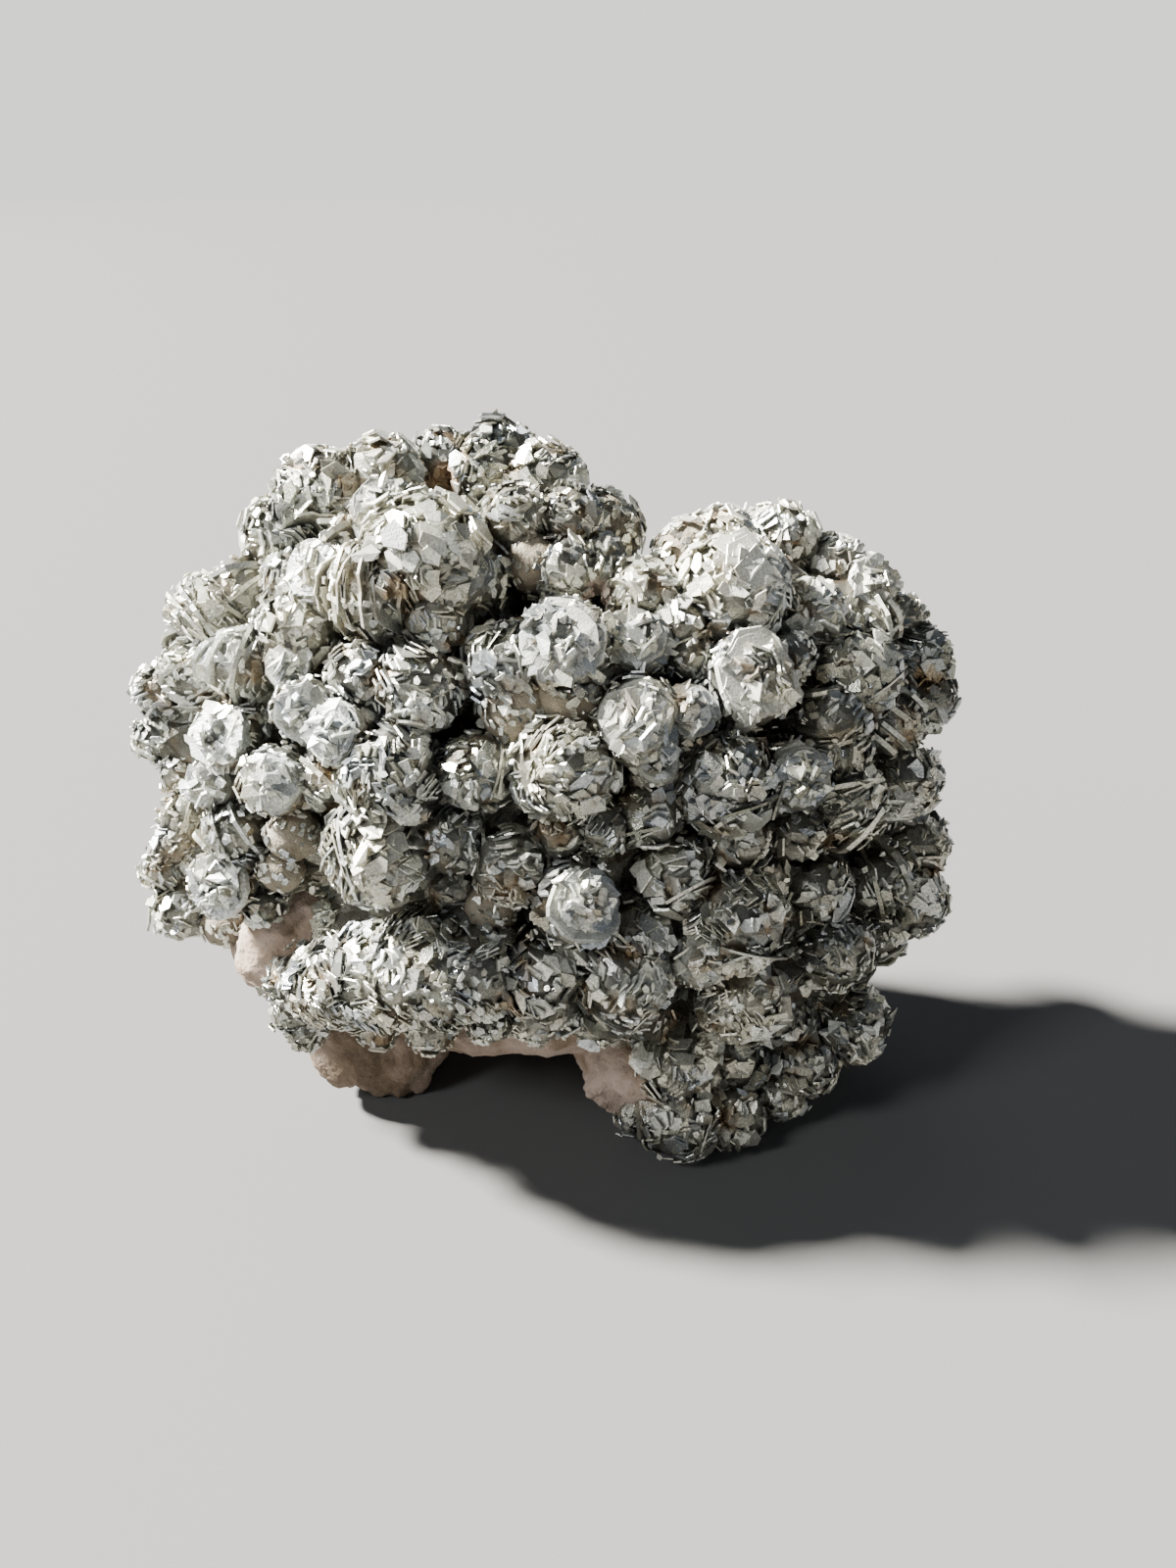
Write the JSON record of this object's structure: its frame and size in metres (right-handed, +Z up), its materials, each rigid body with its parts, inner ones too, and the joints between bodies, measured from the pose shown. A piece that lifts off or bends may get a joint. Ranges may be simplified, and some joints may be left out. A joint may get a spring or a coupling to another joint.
{
  "type": "marcasite cluster",
  "caption": "Rounded cluster of platy metallic marcasite crystals grown on pale marl, a mineral specimen that stands on its own knobs and marl heel.",
  "frame": {"origin": "on the surface that the cluster stands on, at the bottom centre of the box round it", "axes": "+Z up, -Y towards the side covered in the knobs that the picture shows, +X to that side's right"},
  "size_m": [0.1144, 0.0638, 0.0921],
  "materials": {
    "marcasite": "tarnished metallic",
    "marl": "matte"
  },
  "bodies": {
    "root": {"marcasite_crystals": "marcasite", "marl_matrix": "marl"}
  },
  "joints": []
}
